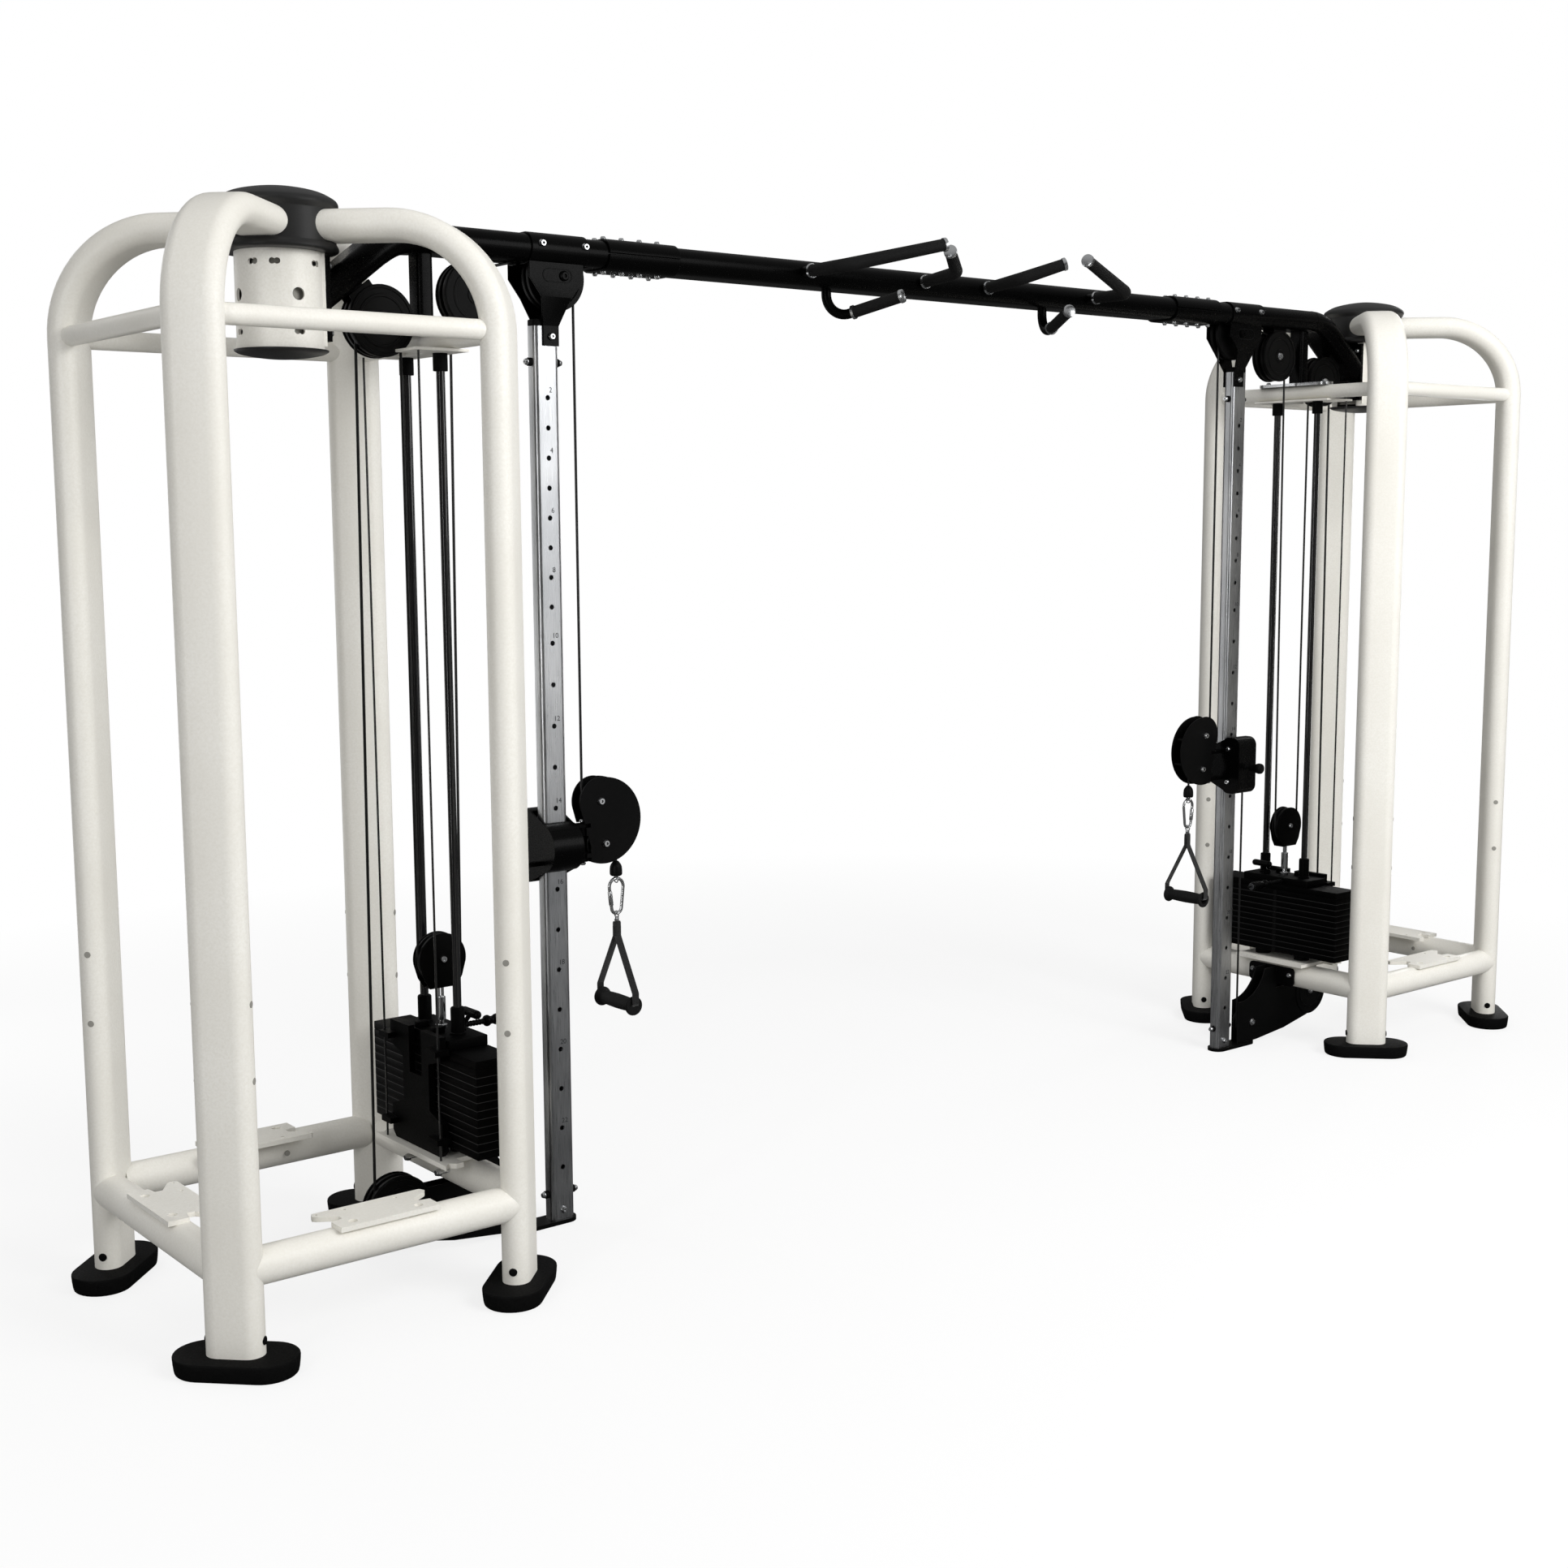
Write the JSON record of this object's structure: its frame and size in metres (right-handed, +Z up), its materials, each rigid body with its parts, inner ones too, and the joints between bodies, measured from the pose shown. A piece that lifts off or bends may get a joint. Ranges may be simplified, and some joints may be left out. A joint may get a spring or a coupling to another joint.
{
  "type": "cable crossover machine",
  "caption": "Free-standing cable crossover machine: two white four-legged towers, a black beam with pull-up bars, and a weight stack with sliding pulley carriage at each end.",
  "frame": {"origin": "middle of the footprint on the floor", "axes": "+X along the beam towards the right tower, +Z up, the pull-up bars face -Y"},
  "size_m": [4.6168, 0.8748, 2.36],
  "materials": {
    "white_coat": "satin powder coat",
    "black_coat": "satin powder coat",
    "rubber": "moulded matt",
    "foam": "soft matt",
    "brushed_column": "brushed zinc",
    "rods": "black polished",
    "weights": "satin",
    "cable": "nylon coated",
    "bolts": "polished",
    "pulley": "moulded nylon",
    "webbing": "woven"
  },
  "bodies": {
    "frame": {"feet_and_stops": "rubber", "legs": "white_coat", "base_rails": "white_coat", "ring_rails": "white_coat", "hub_tubes": "white_coat", "hub_caps": "black_coat", "boom_arms": "black_coat", "cross_beam": "black_coat", "coupler_shells": "black_coat", "pull_up_bars": "black_coat", "pull_up_grips": "foam", "boom_struts": "black_coat", "column_heads": "black_coat", "columns": "brushed_column", "lower_booms": "black_coat", "pulley_guards": "black_coat", "guide_rods": "rods", "weight_plates": "weights", "drive_cables": "cable", "stack_cables": "cable", "column_cables": "cable", "frame_bolts": "bolts"},
    "left_carriage": {"left_carriage": "black_coat"},
    "left_pull_pin": {"left_pull_pin": "black_coat"},
    "left_swivel": {"left_swivel_housing": "black_coat", "left_pull_cable": "cable"},
    "left_handle": {"left_carabiner": "bolts", "left_handle_strap": "webbing", "left_handle_grip": "foam"},
    "left_stack": {"left_stack_head": "weights"},
    "left_addon_weight": {"left_addon_weight": "weights"},
    "left_upper_swivel_pulley": {"left_upper_swivel_pulley": "pulley"},
    "left_lower_swivel_pulley": {"left_lower_swivel_pulley": "pulley"},
    "left_floating_pulley": {"left_floating_pulley": "pulley"},
    "left_selector_pin": {"left_selector_pin": "black_coat"},
    "left_addon_lever": {"left_addon_lever": "black_coat"},
    "left_column_top_pulley": {"left_column_top_pulley": "pulley"},
    "left_beam_pulley": {"left_beam_pulley": "pulley"},
    "left_hub_pulley": {"left_hub_pulley": "pulley"},
    "left_base_pulley": {"left_base_pulley": "pulley"},
    "left_column_foot_pulley": {"left_column_foot_pulley": "pulley"},
    "right_carriage": {"right_carriage": "black_coat"},
    "right_pull_pin": {"right_pull_pin": "black_coat"},
    "right_swivel": {"right_swivel_housing": "black_coat", "right_pull_cable": "cable"},
    "right_handle": {"right_carabiner": "bolts", "right_handle_strap": "webbing", "right_handle_grip": "foam"},
    "right_stack": {"right_stack_head": "weights"},
    "right_addon_weight": {"right_addon_weight": "weights"},
    "right_upper_swivel_pulley": {"right_upper_swivel_pulley": "pulley"},
    "right_lower_swivel_pulley": {"right_lower_swivel_pulley": "pulley"},
    "right_floating_pulley": {"right_floating_pulley": "pulley"},
    "right_selector_pin": {"right_selector_pin": "black_coat"},
    "right_addon_lever": {"right_addon_lever": "black_coat"},
    "right_column_top_pulley": {"right_column_top_pulley": "pulley"},
    "right_beam_pulley": {"right_beam_pulley": "pulley"},
    "right_hub_pulley": {"right_hub_pulley": "pulley"},
    "right_base_pulley": {"right_base_pulley": "pulley"},
    "right_column_foot_pulley": {"right_column_foot_pulley": "pulley"}
  },
  "joints": [
    {"name": "left_carriage_slide", "type": "slide", "parent": "frame", "child": "left_carriage", "axis": [0, 0, 1], "range_m": [-0.4825, 0.974], "deforming": ["column_cables"]},
    {"name": "left_pull_pin", "type": "slide", "parent": "left_carriage", "child": "left_pull_pin", "axis": [0, -1, 0], "range_m": [-0.01, 0.01]},
    {"name": "left_swivel", "type": "hinge", "parent": "left_carriage", "child": "left_swivel", "pos_m": [-1.15, 0, 0.915], "axis": [0, 0, 1], "range_deg": [-80, 80]},
    {"name": "left_stack_lift", "type": "slide", "parent": "frame", "child": "left_stack", "axis": [0, 0, 1], "range_m": [0, 0.22], "deforming": ["stack_cables"]},
    {"name": "left_handle_pull", "type": "slide", "parent": "left_swivel", "child": "left_handle", "axis": [0, 0, -1], "range_m": [0, 0.44], "deforming": ["left_pull_cable"]},
    {"name": "left_selector_pin", "type": "slide", "parent": "left_stack", "child": "left_selector_pin", "axis": [1, 0, 0], "range_m": [0, 0.04]},
    {"name": "left_addon_lift", "type": "slide", "parent": "frame", "child": "left_addon_weight", "axis": [0, 0, 1], "range_m": [0, 0.22]},
    {"name": "left_addon_lever", "type": "hinge", "parent": "left_stack", "child": "left_addon_lever", "pos_m": [-1.519, -0.052, 0.54], "axis": [0, 0, 1], "range_deg": [-25, 25]},
    {"name": "left_floating_pulley_spin", "type": "hinge", "parent": "left_stack", "child": "left_floating_pulley", "pos_m": [-1.541, 0, 0.69], "axis": [0, -1, 0], "range_deg": [-2, 236]},
    {"name": "left_beam_pulley_spin", "type": "hinge", "parent": "frame", "child": "left_beam_pulley", "pos_m": [-1.417, 0, 2.168], "axis": [0, -1, 0], "range_deg": [-478, 2]},
    {"name": "left_column_top_pulley_spin", "type": "hinge", "parent": "frame", "child": "left_column_top_pulley", "pos_m": [-1.203, 0, 2.222], "axis": [0, -1, 0], "range_deg": [-478, 2]},
    {"name": "left_upper_swivel_pulley_spin", "type": "hinge", "parent": "left_swivel", "child": "left_upper_swivel_pulley", "pos_m": [-1.109, 0, 1.012], "axis": [0, -1, 0], "range_deg": [-2, 617]},
    {"name": "left_lower_swivel_pulley_spin", "type": "hinge", "parent": "left_swivel", "child": "left_lower_swivel_pulley", "pos_m": [-1.097, 0, 0.909], "axis": [0, -1, 0], "range_deg": [-617, 2]},
    {"name": "left_hub_pulley_spin", "type": "hinge", "parent": "frame", "child": "left_hub_pulley", "pos_m": [-1.648, 0, 2.1], "axis": [0, -1, 0], "range_deg": [-524, 1055]},
    {"name": "left_base_pulley_spin", "type": "hinge", "parent": "frame", "child": "left_base_pulley", "pos_m": [-1.668, 0, 0.13], "axis": [0, -1, 0], "range_deg": [-524, 1055]},
    {"name": "left_column_foot_pulley_spin", "type": "hinge", "parent": "frame", "child": "left_column_foot_pulley", "pos_m": [-1.368, 0, 0.071], "axis": [0, -1, 0], "range_deg": [-534, 1076]},
    {"name": "right_carriage_slide", "type": "slide", "parent": "frame", "child": "right_carriage", "axis": [0, 0, 1], "range_m": [-0.4825, 0.974], "deforming": ["column_cables"]},
    {"name": "right_pull_pin", "type": "slide", "parent": "right_carriage", "child": "right_pull_pin", "axis": [0, 1, 0], "range_m": [-0.01, 0.01]},
    {"name": "right_swivel", "type": "hinge", "parent": "right_carriage", "child": "right_swivel", "pos_m": [1.15, 0, 0.915], "axis": [0, 0, 1], "range_deg": [-80, 80]},
    {"name": "right_stack_lift", "type": "slide", "parent": "frame", "child": "right_stack", "axis": [0, 0, 1], "range_m": [0, 0.22], "deforming": ["stack_cables"]},
    {"name": "right_handle_pull", "type": "slide", "parent": "right_swivel", "child": "right_handle", "axis": [0, 0, -1], "range_m": [0, 0.44], "deforming": ["right_pull_cable"]},
    {"name": "right_selector_pin", "type": "slide", "parent": "right_stack", "child": "right_selector_pin", "axis": [-1, 0, 0], "range_m": [0, 0.04]},
    {"name": "right_addon_lift", "type": "slide", "parent": "frame", "child": "right_addon_weight", "axis": [0, 0, 1], "range_m": [0, 0.22]},
    {"name": "right_addon_lever", "type": "hinge", "parent": "right_stack", "child": "right_addon_lever", "pos_m": [1.519, 0.052, 0.54], "axis": [0, 0, 1], "range_deg": [-25, 25]},
    {"name": "right_floating_pulley_spin", "type": "hinge", "parent": "right_stack", "child": "right_floating_pulley", "pos_m": [1.541, 0, 0.69], "axis": [0, 1, 0], "range_deg": [-2, 236]},
    {"name": "right_beam_pulley_spin", "type": "hinge", "parent": "frame", "child": "right_beam_pulley", "pos_m": [1.417, 0, 2.168], "axis": [0, 1, 0], "range_deg": [-478, 2]},
    {"name": "right_column_top_pulley_spin", "type": "hinge", "parent": "frame", "child": "right_column_top_pulley", "pos_m": [1.203, 0, 2.222], "axis": [0, 1, 0], "range_deg": [-478, 2]},
    {"name": "right_upper_swivel_pulley_spin", "type": "hinge", "parent": "right_swivel", "child": "right_upper_swivel_pulley", "pos_m": [1.109, 0, 1.012], "axis": [0, 1, 0], "range_deg": [-2, 617]},
    {"name": "right_lower_swivel_pulley_spin", "type": "hinge", "parent": "right_swivel", "child": "right_lower_swivel_pulley", "pos_m": [1.097, 0, 0.909], "axis": [0, 1, 0], "range_deg": [-617, 2]},
    {"name": "right_hub_pulley_spin", "type": "hinge", "parent": "frame", "child": "right_hub_pulley", "pos_m": [1.648, 0, 2.1], "axis": [0, 1, 0], "range_deg": [-524, 1055]},
    {"name": "right_base_pulley_spin", "type": "hinge", "parent": "frame", "child": "right_base_pulley", "pos_m": [1.668, 0, 0.13], "axis": [0, 1, 0], "range_deg": [-524, 1055]},
    {"name": "right_column_foot_pulley_spin", "type": "hinge", "parent": "frame", "child": "right_column_foot_pulley", "pos_m": [1.368, 0, 0.071], "axis": [0, 1, 0], "range_deg": [-534, 1076]}
  ],
  "couplings": [
    {"joint": "left_handle_pull", "follows": "left_stack_lift", "ratio": 2},
    {"joint": "left_floating_pulley_spin", "follows": "left_stack_lift", "rad_per_m": 18.518},
    {"joint": "left_beam_pulley_spin", "follows": "left_stack_lift", "rad_per_m": -37.736},
    {"joint": "left_column_top_pulley_spin", "follows": "left_stack_lift", "rad_per_m": -37.736},
    {"joint": "left_upper_swivel_pulley_spin", "follows": "left_stack_lift", "rad_per_m": 48.781},
    {"joint": "left_lower_swivel_pulley_spin", "follows": "left_stack_lift", "rad_per_m": -48.781},
    {"joint": "left_hub_pulley_spin", "follows": "left_carriage_slide", "rad_per_m": 18.868},
    {"joint": "left_base_pulley_spin", "follows": "left_carriage_slide", "rad_per_m": 18.868},
    {"joint": "left_column_foot_pulley_spin", "follows": "left_carriage_slide", "rad_per_m": 19.231},
    {"joint": "right_handle_pull", "follows": "right_stack_lift", "ratio": 2},
    {"joint": "right_floating_pulley_spin", "follows": "right_stack_lift", "rad_per_m": 18.518},
    {"joint": "right_beam_pulley_spin", "follows": "right_stack_lift", "rad_per_m": -37.736},
    {"joint": "right_column_top_pulley_spin", "follows": "right_stack_lift", "rad_per_m": -37.736},
    {"joint": "right_upper_swivel_pulley_spin", "follows": "right_stack_lift", "rad_per_m": 48.781},
    {"joint": "right_lower_swivel_pulley_spin", "follows": "right_stack_lift", "rad_per_m": -48.781},
    {"joint": "right_hub_pulley_spin", "follows": "right_carriage_slide", "rad_per_m": 18.868},
    {"joint": "right_base_pulley_spin", "follows": "right_carriage_slide", "rad_per_m": 18.868},
    {"joint": "right_column_foot_pulley_spin", "follows": "right_carriage_slide", "rad_per_m": 19.231}
  ]
}
